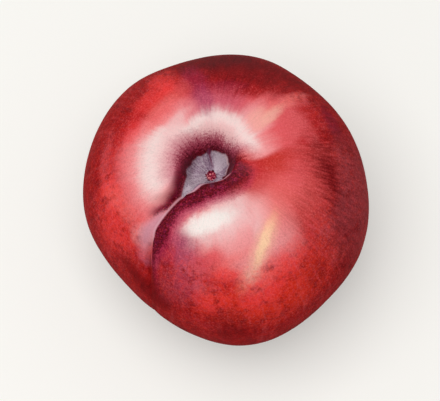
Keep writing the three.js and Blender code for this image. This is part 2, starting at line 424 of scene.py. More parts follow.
class Paint:
    """Writes a node tree step by step. Most methods give back the new node's output."""

    def __init__(self, tree):
        self.tree = tree

    def node(self, kind, **settings):
        made = self.tree.nodes.new(kind)
        for name, value in settings.items():
            setattr(made, name, value)
        return made

    def feed(self, socket, value):
        if isinstance(value, bpy.types.NodeSocket):
            self.tree.links.new(value, socket)
        else:
            socket.default_value = value

    def math(self, operation, *values):
        made = self.node("ShaderNodeMath", operation=operation)
        for socket, value in zip(made.inputs, values):
            self.feed(socket, value)
        return made.outputs[0]

    def vector(self, operation, *values):
        made = self.node("ShaderNodeVectorMath", operation=operation)
        for socket, value in zip(made.inputs, values):
            self.feed(socket, value)
        return made.outputs["Value" if operation in ("DOT_PRODUCT", "LENGTH") else "Vector"]

    def times(self, *values):
        made = values[0]
        for value in values[1:]:
            made = self.math("MULTIPLY", made, value)
        return made

    def ease(self, value, span, low=0.0, high=1.0):
        """Low before the span, high after it, and a smooth step between. A span may run down."""
        made = self.node("ShaderNodeMapRange", interpolation_type="SMOOTHSTEP", clamp=True)
        for socket, part in zip(made.inputs, (value, *span, low, high)):
            self.feed(socket, part)
        return made.outputs[0]

    def hump(self, value, centre, half_width):
        """1 where the value is at the centre, 0 beyond the half width."""
        away = self.math("ABSOLUTE", self.math("SUBTRACT", value, centre))
        return self.ease(self.math("DIVIDE", away, half_width), (1.0, 0.0))

    def shaken(self, value, wobble, amount):
        """The value, moved up and down by a noise, by at most half the amount each way."""
        return self.math("MULTIPLY_ADD", self.math("SUBTRACT", wobble, 0.5), amount, value)

    def noise(self, place, *settings, output="Fac"):
        made = self.node("ShaderNodeTexNoise")
        for name, value in zip(("Vector", "Scale", "Detail", "Roughness"), (place, *settings)):
            self.feed(made.inputs[name], value)
        return made.outputs[output]

    def over(self, under, colour, share):
        made = self.node("ShaderNodeMix", data_type="RGBA", blend_type="MIX")
        self.feed(made.inputs["Factor"], share)
        self.feed(made.inputs["A"], under)
        self.feed(made.inputs["B"], colour)
        return made.outputs["Result"]

    def less(self, value, taken):
        return self.math("SUBTRACT", value, taken)

    def grey(self, value):
        """The same value in all three parts of a colour."""
        made = self.node("ShaderNodeCombineXYZ")
        for socket in made.inputs:
            self.feed(socket, value)
        return made.outputs[0]

    def attribute(self, name):
        return self.node("ShaderNodeAttribute", attribute_name=name).outputs["Vector"]

    def parts(self, vector):
        made = self.node("ShaderNodeSeparateXYZ")
        self.feed(made.inputs[0], vector)
        return made.outputs


# ---- What the skin's colours are worked out from ----

# A side is a heading and a half width. A ring is a reach, and where it grows: by how much, and on
# which side. A span is where a change begins and ends. A grade is a span, and the values at its
# two ends. A share is the most that a colour covers.

# Noises: waves to a millimetre, or to a unit of the stretched place; detail; roughness.
PUSH_NOISE = (0.2, 4.0, 0.6)
SPECKLE_NOISE = (2.8, 3.0, 0.85)
FLECK_NOISE = (1.4, 3.0, 0.7)
BLOTCH_NOISE = (0.75, 3.0, 0.65)
MOTTLE_NOISE = (0.3, 4.0, 0.65)
STREAK_NOISE = (1.0, 3.0, 0.65)
STROKE_NOISE = (1.0, 3.0, 0.7)
HAIR_NOISE = (1.0, 2.0, 0.7)
GRIT_NOISE = (1.4, 3.0, 0.7)

FLECK_SHIFT = (0, 50, 0)  # set the noises apart from each other
BLOTCH_SHIFT = (50, 0, 0)
STREAK_STRETCH = (16, 16, 2.4)  # waves round the fruit, and down it
STROKE_STRETCH = (38, 38, 7)
HAIR_STRETCH = (11, 11, 0)

DIRECTION_PUSH = 0.08  # how far the edges of flushes are pushed about, as a share of the radius
FLUSH_CLOUD = 1.4  # how much the mottle and the streaks feather the edges of flushes
FLUSH_STREAKS = 0.8
RING_STREAKS = 2.0  # and the edges of rings, in millimetres
RING_CLOUD = 2.4

RED_LIFTS = (52, 36)  # lift above level at which the pale crown ends and the red side begins
CROWN_HEIGHTS = (26, 34)
FAR_SIDE_ENDS = (280, 75)  # the side of the near cheek, where the far one's paint is left out
CREASE_HEADING = 94  # from the scar to the crease in the pit's far wall
VALLEY_EDGE = Named(headings=(-3, 4), turn=((7, 16), 0.0, -13.0), around=(75, 90))
BRINK = Named(inset=((7.5, 11.5), 2.05, -0.5), side_inset=((18, 23), 0.0, 1.4), softness=(-0.15, 0.15))

# Specks: noise, span, share and colour.
# the specks in the near black of the painted shade
SHADE_SPECKS = [
    ("fleck", (0.45, 0.65), 0.8, VIOLET),
    ("speckle", (0.55, 0.3), 0.9, NIGHT),
    ("speckle", (0.5, 0.72), 0.75, CLARET),
]


class SkinPaint(Paint):
    """Paint that knows where each place of the skin lies, and the noises and colour there."""

    def __init__(self, tree):
        super().__init__(tree)
        self.find_place()
        self.find_direction()
        self.make_noises()
        self.mix_shade_dark()
        self.feather_edges()
        self.find_scar()
        self.find_brink()

    def find_place(self):
        place = self.node("ShaderNodeTexCoord").outputs["Object"]
        self.place = self.vector("MULTIPLY", place, (1 / MM, 1 / MM, 1 / MM))
        self.height = self.parts(self.place)[2]
        self.crown = self.ease(self.height, CROWN_HEIGHTS)
        self.reach, self.beside, self.polar = self.parts(self.attribute("lie"))
        self.grain = self.attribute("grain")
        east, north, _ = self.parts(self.grain)
        self.heading = self.math("DEGREES", self.math("ARCTAN2", north, east))
        beside_cos, beside_sin, self.inside = self.parts(self.attribute("turn"))
        self.around = self.math("DEGREES", self.math("ARCTAN2", beside_sin, beside_cos))
        self.from_suture = self.math("ABSOLUTE", self.around)
        self.far_side = self.less(1.0, self.toward(FAR_SIDE_ENDS))

    def find_direction(self):
        """The direction from the fruit's heart, pushed about a little so that edges are uneven."""
        heart = self.vector("SUBTRACT", self.place, (0, 0, GIRTH_HEIGHT))
        push = self.noise(self.place, *PUSH_NOISE, output="Color")
        push = self.vector("SUBTRACT", push, (0.5, 0.5, 0.5))
        push = self.vector("MULTIPLY", push, (DIRECTION_PUSH,) * 3)
        direction = self.vector("ADD", self.vector("NORMALIZE", heart), push)
        self.direction = self.vector("NORMALIZE", direction)
        self.lift = self.math("DEGREES", self.math("ARCSINE", self.parts(self.direction)[2]))
        self.red = self.ease(self.lift, RED_LIFTS)

    def make_noises(self):
        """Grain in four sizes, and streaks in two that run down the fruit."""
        self.speckle = self.noise(self.place, *SPECKLE_NOISE)
        self.fleck = self.noise(self.vector("ADD", self.place, FLECK_SHIFT), *FLECK_NOISE)
        self.blotch = self.noise(self.vector("ADD", self.place, BLOTCH_SHIFT), *BLOTCH_NOISE)
        self.mottle = self.noise(self.place, *MOTTLE_NOISE)
        self.streaks = self.noise(self.vector("MULTIPLY", self.grain, STREAK_STRETCH), *STREAK_NOISE)
        self.strokes = self.noise(self.vector("MULTIPLY", self.grain, STROKE_STRETCH), *STROKE_NOISE)

    def mix_shade_dark(self):
        """The near black of the painted shade in the bands and the fold, with its specks."""
        self.colour = MULBERRY
        self.lay_specks(SHADE_SPECKS)
        self.dark = self.colour

    def feather_edges(self):
        """Feathered edges for the flushes and the rings, and the crisp edge of the valley."""
        self.feather = self.shaken(1.0, self.mottle, FLUSH_CLOUD)
        self.feather = self.shaken(self.feather, self.streaks, FLUSH_STREAKS)
        self.feathered = self.shaken(self.reach, self.streaks, RING_STREAKS)
        self.feathered = self.shaken(self.feathered, self.mottle, RING_CLOUD)
        turn = self.ease(self.reach, *VALLEY_EDGE.turn)
        past_valley = self.ease(self.math("ADD", self.heading, turn), VALLEY_EDGE.headings)
        self.past_valley = self.times(past_valley, self.ease(self.around, VALLEY_EDGE.around))
        self.below_valley = self.less(1.0, self.past_valley)

    def find_scar(self):
        """Distance from the stem scar, the hairlines that run to it, and the wall's crease."""
        scar = self.vector("SUBTRACT", self.place, (*SCAR.place, 0))
        scar = self.vector("MULTIPLY", scar, (1, 1, 0))
        self.from_scar = self.vector("LENGTH", scar)
        spokes = self.vector("MULTIPLY", self.vector("NORMALIZE", scar), HAIR_STRETCH)
        self.hairs = self.noise(spokes, *HAIR_NOISE)
        heading = math.radians(CREASE_HEADING)
        across = (-math.sin(heading), math.cos(heading), 0)
        self.beside_crease = self.vector("DOT_PRODUCT", scar, across)

    def find_brink(self):
        """The brink is where the near cheek's edge comes into sight from the front, above the
        suture and the pit. It lies at a distance inside that edge."""
        inside = self.less(self.inside, self.ease(self.reach, *BRINK.inset))
        self.from_brink = self.less(inside, self.ease(self.reach, *BRINK.side_inset))
        self.past_brink = self.ease(self.from_brink, BRINK.softness)

    def toward(self, side):
        """1 on the side that faces the heading, 0 beyond the half width on each side of it."""
        heading, half_width = (math.radians(angle) for angle in side)
        facing = (math.cos(heading), math.sin(heading), 0)
        facing = self.vector("DOT_PRODUCT", self.grain, facing)
        return self.ease(facing, (math.cos(half_width), 1.0))

    def ring(self, reach, *lobes):
        """The reach of a ring, grown on some sides: each lobe is a growth and a side."""
        for growth, *side in lobes:
            reach = self.math("MULTIPLY_ADD", self.toward(side), growth, reach)
        return reach

    def within(self, **spans):
        """1 where each of the skin's values that are named is past its span, 0 before any."""
        return self.times(*(self.ease(getattr(self, name), spans[name]) for name in spans))

    def lay(self, hue, *shares):
        """Lays a colour over what is painted so far, by the product of the shares."""
        self.colour = self.over(self.colour, hue, self.times(*shares))

    def lay_specks(self, specks, where=1.0):
        for name, span, share, hue in specks:
            self.lay(hue, self.within(**{name: span}), where, share)


# ---- The layers of colour, from the inside out ----

# The ground colour at each lift above level, in degrees seen from the fruit's heart.
GROUND = [(-70, NIGHT), (-20, GARNET), (5, BLOOD), (38, BLOOD), (50, CARMINE)]
GROUND_UNEVENNESS = 16


def ground(skin):
    """Dark garnet underneath, blood red on the sides; the darkening downwards is partly the skin's own
    colour, partly painted shade.
    """
    level = skin.shaken(skin.lift, skin.mottle, GROUND_UNEVENNESS)
    skin.colour = GROUND[0][1]
    for (below, _), (lift, hue) in zip(GROUND, GROUND[1:]):
        skin.lay(hue, skin.ease(level, (below, lift)))


# Two rings round the stem, and the colours laid inside each, from this far past its reach.
CROWN_RINGS = [
    (
        (16.0, (4.6, 197, 55), (-3, 90, 35), (3.4, 38, 25), (8.3, 285, 50), (-2.5, 264, 20)),
        [(CARMINE, (5.0, 1.5)), (ROSE, (2.2, -1.2))],
    ),
    (
        (10.2, (8.0, 190, 62), (4.5, 48, 20), (1.5, 15, 25), (12.3, 298, 43)),
        [(PETAL, (3.0, -3.0))],
    ),
]


def crown_rings(skin):
    """The skin pales towards the stem in rings, which are wide on the left and on the near cheek: partly
    bloom, partly painted highlight round the crown.
    """
    for ring, hues in CROWN_RINGS:
        past_ring = skin.less(skin.feathered, skin.ring(*ring))
        for hue, span in hues:
            skin.lay(hue, skin.crown, skin.ease(past_ring, span))


# Flushes of colour. Each lies in a direction seen from the heart: heading and lift; then its half
# length and half width in degrees, the turn of its long side from level towards uphill, its
# colour and its share.
FLUSHES = [
    # the back, dark all over, as painted shade on the side turned from the light
    (72, 12, 75, 36, 0, GARNET, 0.55),
    # the far cheek, from left to right
    (209, 14, 16, 12, 0, CARMINE, 0.8),
    (206, 28, 21, 15, 0, POPPY, 0.8),
    (194, 37, 13, 9, 0, POPPY, 1.0),
    (194, 36, 8, 6, 0, CORAL, 0.3),
    (204, 41, 18, 7, 0, CORAL, 0.5),
    (174, 36, 16, 6, 0, ROSE, 0.4),
    (125, 42, 15, 9, 80, POPPY, 0.75),
    (140, 54, 16, 8, 0, CORAL, 0.5),
    (84, 42, 38, 22, 0, GARNET, 0.85),
    (92, 54, 14, 5, 0, DAMSON, 0.35),
    (95, 34, 28, 15, 0, NIGHT, 0.5),
    (62, 33, 14, 8, 0, GARNET, 0.7),
    (110, 48, 17, 7, 88, DAMSON, 0.55),
    (137, 46, 13, 7, 0, POPPY, 0.6),
    (166, 31, 10, 7, 0, BLOOD, 0.6),
    (44, 42, 8, 4, 80, ROSE, 0.6),
    (119, 51, 9, 5, 85, ROSE, 0.4),
    (26, 33, 14, 7, 0, GARNET, 0.7),
    (28, 33, 12, 7, 0, DAMSON, 0.35),
    (49, 49, 20, 4, 80, CORAL, 0.9),
    (22, 50, 10, 6, 0, ROSE, 0.5),
    (4, 48, 12, 6, 0, GARNET, 0.8),
    # the near cheek
    (290, 27, 42, 20, 0, EMBER, 0.8),
    (318, 33, 20, 12, 0, VERMILION, 0.5),
    (298, 38, 20, 10, 20, POPPY, 0.6),
    (278, 46, 18, 8, 20, CORAL, 0.5),
    (271, 14, 20, 13, 90, GARNET, 0.6),
    (285, 31, 15, 9, 30, POPPY, 0.8),
    (262, 28, 11, 9, 40, POPPY, 0.8),
    (257, 12, 14, 8, 0, CARMINE, 0.6),
    (270, 41, 9, 4, 0, POPPY, 0.5),
    (331, 37, 10, 6, 0, ROSE, 0.5),
    (312, 24, 9, 8, 0, GARNET, 0.5),
    (327, 24, 10, 9, 0, SCARLET, 0.9),
    (286, 36, 12, 5, 20, CORAL, 0.4),
    (288, 41, 9, 5, 20, CORAL, 0.5),
    (264, 30, 9, 6, 0, EMBER, 0.5),
    # both sides of the suture, low down
    (245, 48, 13, 7, 80, HEATHER, 0.8),
    (252, 38, 16, 9, 75, CLARET, 0.85),
    (248, 43, 10, 6, 75, MAUVE, 0.5),
    (259, 34, 10, 6, 0, ROSE, 0.5),
    (258, 46, 14, 8, 60, ROSE, 0.4),
    (236, 14, 16, 11, 0, GARNET, 0.8),
    (222, 19, 12, 8, 0, GARNET, 0.6),
    (228, 34, 8, 7, 0, MAUVE, 0.8),
    (226, 37, 9, 6, 60, ROSE, 0.8),
    (221, 42, 11, 7, 60, PETAL, 0.9),
    (247, 32, 22, 13, 75, MAUVE, 0.25),
    (235, 42, 10, 6, 75, HEATHER, 0.4),
    (254, 40, 8, 5, 0, ROSE, 0.35),
]

# Bloom and painted highlight on the near cheek's crown, touches round the far one's, and pale
# yellow streaks, laid on in the same way after the far cheek's bloom and painted highlight.
BLOOMS_AND_HIGHLIGHTS = [
    (268, 64, 27, 13, 33, SHELL, 0.9),
    (302, 62, 14, 6, 46, SHELL, 0.7),
    (243, 58, 9, 5, 60, SHELL, 0.6),
    (255, 61.5, 17, 6, 31, BLOOM_AND_HIGHLIGHT_WHITE, 1.0),
    (136, 60, 13, 7, 0, PETAL, 0.6),
    (147, 62, 14, 4.5, 0, SHELL, 0.75),
    (161, 47, 9, 5, 0, POPPY, 0.4),
    (111, 60, 12, 6, 88, HEATHER, 0.5),
    (238, 50, 8, 6, 80, HEATHER, 0.7),
    (281, 46, 9, 5, 20, PETAL, 0.6),
    (57, 66, 9, 5, 90, APRICOT, 0.5),
    (48, 62, 14, 3.5, 90, APRICOT, 0.75),
    (301, 54, 9, 5, 47, HONEY, 0.35),
    (292, 50, 25, 6.5, 47, APRICOT, 0.9),
    (296, 52.5, 17, 3.5, 47, HONEY, 1.0),
]
FLUSH_EDGE = (0.05, 0.75)  # a flush comes in over this part of the way to its middle


def flush_cover(skin, heading, lift, half_length, half_width, turn):
    """How strongly a flush covers each place: 1 at its middle, 0 at its edge."""
    heading, lift, half_length, half_width, turn = (
        math.radians(angle) for angle in (heading, lift, half_length, half_width, turn)
    )
    level_share = math.cos(lift)
    up = Vector((level_share * math.cos(heading), level_share * math.sin(heading), math.sin(lift)))
    level = Vector((-math.sin(heading), math.cos(heading), 0))
    along = level * math.cos(turn) + up.cross(level) * math.sin(turn)
    across = up.cross(along)
    mapping = skin.node("ShaderNodeMapping", vector_type="TEXTURE")
    skin.feed(mapping.inputs["Vector"], skin.direction)
    mapping.inputs["Location"].default_value = up
    mapping.inputs["Rotation"].default_value = Matrix((along, across, up)).transposed().to_euler()
    mapping.inputs["Scale"].default_value = (half_length, half_width, max(half_length, half_width))
    gradient = skin.node("ShaderNodeTexGradient", gradient_type="SPHERICAL")
    skin.feed(gradient.inputs["Vector"], mapping.outputs["Vector"])
    return skin.ease(skin.times(gradient.outputs["Fac"], skin.feather), FLUSH_EDGE)


def lay_flushes(skin, flushes):
    for *lie, hue, share in flushes:
        skin.lay(hue, flush_cover(skin, *lie), share)


# The far cheek's crescent of bloom and painted highlight.
FAR_BLOOM_AND_HIGHLIGHT = Named(
    left_start=(-10, -26), right_start=(100, 125),  # degrees from the suture
    right_fade=(2, 26),  # headings
    crest=(8.2, (5.3, 197, 75), (1.2, 85, 40)),  # the ring in its middle
    halo_side=(92, 40), halo_edge=(8.0, 3.0), halo_share=0.7, core_edge=(3.4, -1.2),
    white_width=(2.0, (2.0, 190, 60)), white_share=0.5,
)


def far_bloom_and_highlight(skin):
    """The pale crescent of bloom and painted highlight on the far cheek's crown, ending at the valley and
    at the suture's fold.
    """
    left_half = skin.within(around=FAR_BLOOM_AND_HIGHLIGHT.left_start)
    right_half = skin.within(around=FAR_BLOOM_AND_HIGHLIGHT.right_start, heading=FAR_BLOOM_AND_HIGHLIGHT.right_fade)
    right_half = skin.times(right_half, skin.past_valley)
    far = skin.times(skin.math("MAXIMUM", right_half, left_half), skin.crown)
    past_crest = skin.less(skin.feathered, skin.ring(*FAR_BLOOM_AND_HIGHLIGHT.crest))
    halo = skin.ease(past_crest, FAR_BLOOM_AND_HIGHLIGHT.halo_edge)
    skin.lay(MAUVE, far, skin.toward(FAR_BLOOM_AND_HIGHLIGHT.halo_side), halo, FAR_BLOOM_AND_HIGHLIGHT.halo_share)
    skin.lay(SHELL, far, skin.ease(past_crest, FAR_BLOOM_AND_HIGHLIGHT.core_edge))
    white = skin.hump(past_crest, 0.0, skin.ring(*FAR_BLOOM_AND_HIGHLIGHT.white_width))
    skin.lay(BLOOM_AND_HIGHLIGHT_WHITE, far, white, FAR_BLOOM_AND_HIGHLIGHT.white_share)


SLOPE = Named(side=(350, 42), end=(28, 22), share=0.9)
SLOPE_LIGHTS = [  # side, middle and half width of the reach, colour, share
    ((328, 30), (15.0, 8.0), CORAL, 0.5),
    ((350, 16), (15.5, 4.5), ROSE, 0.6),
]
VALLEY_FLOOR = Named(side=(0, 16), start=(7, 9), end=(17, 11), share=0.9)
VALLEY_SHADE_RUN = Named(side=(349, 35), reach=((-45, 6), 28.5, 21.5), half_width=5.0, steady=0.75, fanned=0.25)
FAN = Named(side=(350, 50), place=(20.0, 10.0), share=0.2, dark=(0.66, 0.34), pale=(0.52, 0.72))
RIGHT_RIM_SHADE = Named(side=(354, 34), top=(42, 34), bottom=(-5, 15), share=0.75)
SLOPE_FOOT = Named(side=(338, 38), end=(13, 8.5), share=0.65)


def right_slope(skin):
    """The red slope between the cheeks on the right, under the crisp upper edge of the valley, with
    painted shade in the valley and along the right rim.
    """
    below = skin.times(skin.below_valley, skin.crown)
    slope = skin.within(feathered=SLOPE.end)
    skin.lay(SCARLET, slope, skin.toward(SLOPE.side), below, SLOPE.share)
    for side, place, hue, share in SLOPE_LIGHTS:
        skin.lay(hue, skin.hump(skin.feathered, *place), skin.toward(side), skin.crown, share)
    floor = skin.within(reach=VALLEY_FLOOR.start, feathered=VALLEY_FLOOR.end)
    skin.lay(VERMILION, floor, skin.toward(VALLEY_FLOOR.side), below, VALLEY_FLOOR.share)

    # dark red runs along the valley and then down the right side as painted shade, with dark and pale
    # streaks
    run = skin.hump(skin.feathered, skin.ease(skin.heading, *VALLEY_SHADE_RUN.reach), VALLEY_SHADE_RUN.half_width)
    fan = skin.within(strokes=FAN.dark)
    fanned = skin.math("MULTIPLY_ADD", fan, VALLEY_SHADE_RUN.fanned, VALLEY_SHADE_RUN.steady)
    skin.lay(GARNET, run, skin.toward(VALLEY_SHADE_RUN.side), fanned)
    side = skin.times(skin.toward(FAN.side), skin.hump(skin.feathered, *FAN.place), skin.crown)
    skin.lay(GARNET, side, fan, FAN.share)
    skin.lay(ROSE, side, skin.within(strokes=FAN.pale), FAN.share)
    # umber along the right rim, painted shade on the side away from the light
    rim = skin.times(skin.within(lift=RIGHT_RIM_SHADE.top), skin.within(lift=RIGHT_RIM_SHADE.bottom))
    skin.lay(UMBER, rim, skin.toward(RIGHT_RIM_SHADE.side), RIGHT_RIM_SHADE.share)
    foot = skin.within(feathered=SLOPE_FOOT.end)
    skin.lay(CARMINE, foot, skin.toward(SLOPE_FOOT.side), below, SLOPE_FOOT.share)


RED_MOTTLES = [("mottle", (0.47, 0.32), 0.6, GARNET), ("blotch", (0.5, 0.3), 0.3, GARNET)]
BRIGHT_MOTTLES = [
    ("streaks", (0.52, 0.72), 0.3, ROSE),
    ("blotch", (0.5, 0.7), 0.4, POPPY),
    ("fleck", (0.55, 0.3), 0.3, CLARET),
    ("fleck", (0.45, 0.7), 0.4, EMBER),
]
BRIGHT_RED = (0.14, 0.5)  # a colour's red part, from dark skin to bright
DARK_SPECK = Named(span=(0.55, 0.2), share=((50, 62), 0.25, 0.05))  # the share falls with lift
PALE_SPECK = Named(span=(0.45, 0.8), share=((0.0, 1.0), 0.03, 0.22))  # and grows with brightness
PORES = Named(scale=0.45, edge=(0.07, 0.02), share=0.12)


def mottles(skin):
    """Breaks the skin's colour up in blotches and specks, which are brighter where the skin is."""
    bright = skin.ease(skin.parts(skin.colour)[0], BRIGHT_RED)
    skin.lay_specks(RED_MOTTLES, skin.red)
    skin.lay_specks(BRIGHT_MOTTLES, skin.times(skin.red, bright))
    skin.lay(MULBERRY, skin.within(speckle=DARK_SPECK.span), skin.ease(skin.lift, *DARK_SPECK.share))
    skin.lay(PETAL, skin.within(speckle=PALE_SPECK.span), skin.ease(bright, *PALE_SPECK.share))
    pores = skin.node("ShaderNodeTexVoronoi")
    skin.feed(pores.inputs["Vector"], skin.place)
    pores.inputs["Scale"].default_value = PORES.scale
    pore = skin.ease(pores.outputs["Distance"], PORES.edge)
    skin.lay(ROSE, pore, skin.red, PORES.share)


PIT_SHADE_BAND = Named(
    ring=(
        4.8, (1.9, 210, 72), (0.7, 150, 100), (2.2, 335, 25), (0.6, 355, 20), (0.6, 142, 25),
        (-0.5, 50, 25),
    ),
    hairy=1.8, speckled=4.0,  # how far the hairlines and the speckle shake its outer edge
    mauve_width=(2.0, (2.8, 190, 60), (1.2, 138, 30), (3.2, 8, 30), (1.0, 210, 25)),
    mauve_share=0.8, red_side=(345, 50), red_mauve=CARMINE,
    fringe=(1.3, -0.3), fringe_share=0.8, dark=(0.3, -1.4), dark_share=0.95,
)


def shade_band(skin, band, past_band, mauve, where):
    """A band of painted shade, near black, with a fringe and then mauve at its edge, redder on one side.
    """
    redder = skin.toward(band.red_side)
    skin.lay(skin.over(MAUVE, band.red_mauve, redder), where, mauve)
    fringe = skin.ease(past_band, band.fringe)
    skin.lay(skin.over(DAMSON, GARNET, redder), where, fringe, band.fringe_share)
    skin.lay(skin.dark, where, skin.ease(past_band, band.dark), band.dark_share)


def pit_shade_band(skin):
    """The dark band of painted shade where the skin turns down into the stem pit, with hairlines and mauve
    at its outer edge.
    """
    hairy = skin.times(skin.less(skin.hairs, 0.5), skin.far_side, PIT_SHADE_BAND.hairy)
    past_band = skin.less(skin.math("ADD", skin.reach, hairy), skin.ring(*PIT_SHADE_BAND.ring))
    past_band = skin.shaken(past_band, skin.speckle, PIT_SHADE_BAND.speckled)
    mauve = skin.ease(past_band, (skin.ring(*PIT_SHADE_BAND.mauve_width), 0.0), 0.0, PIT_SHADE_BAND.mauve_share)
    shade_band(skin, PIT_SHADE_BAND, past_band, mauve, skin.crown)


# The fold leaves the suture on the far side, and the grey wedge lies between the two. The fold's dark is
# painted shade in the crease.
SUTURE_FRONT = (100, 70)  # degrees from the suture at which its far side's paint ends
FOLD_SHADE = Named(
    beside=((7, 11), -3.4, -1.5), veer=((13.5, 18), 0.0, -1.3), rough=0.6, speckled=1.5, start=(5, 7),
    outer_width=1.9, outer_end=(18.5, 15.5), outer_share=0.9, core_width=1.3, core_end=(18.5, 14.5),
)
WEDGE = Named(
    beside=((15, 21), -0.9, -1.8), half_width=((15, 21), 1.1, 2.8), start=(14.5, 16.5),
    hues=[(DUSK, (24, 20), 0.9), (MAUVE, (25, 21), 0.3)],  # colour, end, share
)
NEAR_EDGE_SHADE = Named(
    end=(28, 21), round_end=(135, 100), rough=2.0, speckled=2.0,
    widths=[((8.5, 14), 4.3, 2.5), ((16, 18.5), 0.0, 0.7), ((18.5, 24), 0.0, -1.2)],
    mauve=(2.6, 0.9), mauve_share=((20, 15), 0.0, 0.8), red_side=(325, 45), red_mauve=CLARET,
    fringe=(1.3, 0.0), fringe_share=0.9, dark=(0.4, -0.6), dark_share=1.0,
)
LOW_CREASE_SHADE = Named(beside=((45, 75), -0.3, 0.7), half_width=1.6, start=(40, 60), end=(120, 90), share=0.6)


def far_fold(skin):
    """The far cheek's fold beside the suture, darkened as painted shade, and the grey wedge."""
    front = skin.times(skin.within(from_suture=SUTURE_FRONT), skin.crown)
    middle = skin.math("ADD", skin.ease(skin.reach, *FOLD_SHADE.beside), skin.ease(skin.reach, *FOLD_SHADE.veer))
    from_fold = skin.less(skin.shaken(skin.beside, skin.mottle, FOLD_SHADE.rough), middle)
    from_fold = skin.shaken(from_fold, skin.speckle, FOLD_SHADE.speckled)
    fold = skin.times(front, skin.within(reach=FOLD_SHADE.start))
    outer = skin.times(skin.hump(from_fold, 0.0, FOLD_SHADE.outer_width), skin.within(reach=FOLD_SHADE.outer_end))
    skin.lay(DAMSON, outer, fold, FOLD_SHADE.outer_share)
    core = skin.hump(from_fold, 0.0, FOLD_SHADE.core_width)
    skin.lay(skin.dark, core, fold, skin.within(reach=FOLD_SHADE.core_end))

    middle = skin.ease(skin.reach, *WEDGE.beside)
    wedge = skin.hump(skin.beside, middle, skin.ease(skin.reach, *WEDGE.half_width))
    wedge = skin.times(wedge, skin.within(reach=WEDGE.start), front)
    for hue, end, share in WEDGE.hues:
        skin.lay(hue, wedge, skin.within(reach=end), share)


def near_edge_shade(skin):
    """The dark band of painted shade beside the near cheek's visible edge, where it turns down to the
    suture and the pit, then purple that fades into the bloom and painted highlight, and the thin dark
    line of painted shade in the suture's crease lower down."""
    near = skin.within(reach=NEAR_EDGE_SHADE.end, from_suture=NEAR_EDGE_SHADE.round_end)
    near = skin.times(near, skin.past_brink, skin.crown)
    past_band = skin.shaken(skin.inside, skin.mottle, NEAR_EDGE_SHADE.rough)
    for width in NEAR_EDGE_SHADE.widths:
        past_band = skin.less(past_band, skin.ease(skin.reach, *width))
    past_band = skin.shaken(past_band, skin.speckle, NEAR_EDGE_SHADE.speckled)
    mauve = skin.ease(skin.reach, *NEAR_EDGE_SHADE.mauve_share)
    mauve = skin.times(mauve, skin.ease(past_band, NEAR_EDGE_SHADE.mauve))
    shade_band(skin, NEAR_EDGE_SHADE, past_band, mauve, near)

    # a thin dark line of painted shade in the suture's crease, low down
    low = skin.hump(skin.beside, skin.ease(skin.polar, *LOW_CREASE_SHADE.beside), LOW_CREASE_SHADE.half_width)
    low = skin.times(low, skin.within(polar=LOW_CREASE_SHADE.start), skin.within(polar=LOW_CREASE_SHADE.end))
    skin.lay(GARNET, low, skin.within(from_suture=SUTURE_FRONT), LOW_CREASE_SHADE.share)


# The lining reaches out along the suture in a tongue, and ends at the near cheek's edge.
TONGUE = Named(reach=7.0, beside=-3.0, slope=0.58, edge=(-0.1, 0.3), front=(60, 40), end=(12.2, 11.4))
LINING = Named(
    ring=(
        3.0, (1.3, 120, 100), (2.6, 224, 58), (0.7, 180, 35), (-0.6, 107, 8), (-0.7, 345, 35),
        (-0.5, 80, 30), (-0.5, 124, 20), (-0.7, 325, 22),
    ),
    hairy=0.25, round_end=(140, 110), edge=(0.25, -0.15),
    shades=[((60, 45), 0.32), ((215, 30), 0.2)],  # sides that are paler, and by how much
    speckled=1.2, shade=(0.28, 0.8),
    shadow=(0.4, 0.8), shadow_share=0.5,  # middle and half width, past the edge
    rim=(-0.1, 0.25), rim_side=(20, 50), rim_share=0.5,
)
# The creases in the far wall, darkened as painted shade. Middle and half width are grades from the scar
# outwards.
CREASES = [
    Named(middle=((1.0, 4.4), 0.1, 0.1), half_width=((1.0, 4.4), 1.3, 0.7),
          start=(0.8, 1.6), end=(5.0, 4.2), hue=SHADE, share=0.6),
    Named(middle=((1.0, 4.4), -0.6, 0.0), half_width=((1.0, 4.4), 0.3, 0.3),
          start=(1.2, 3.6), end=(5.0, 4.5), hue=VIOLET, share=0.7),
]
LIP_LINE = Named(
    round_end=(105, 80), inset=-0.2, half_width=0.4, start=(1.8, 3.5), end=(22, 18.5), share=0.85,
)
LIP_SHADOW = Named(inset=0.5, half_width=0.7, end=(15, 10), share=0.6)
SCAR_PAINT = Named(ragged=2.2, edge=(1.2, 0.9), damson=(0.42, 0.5), petal=(0.54, 0.62))


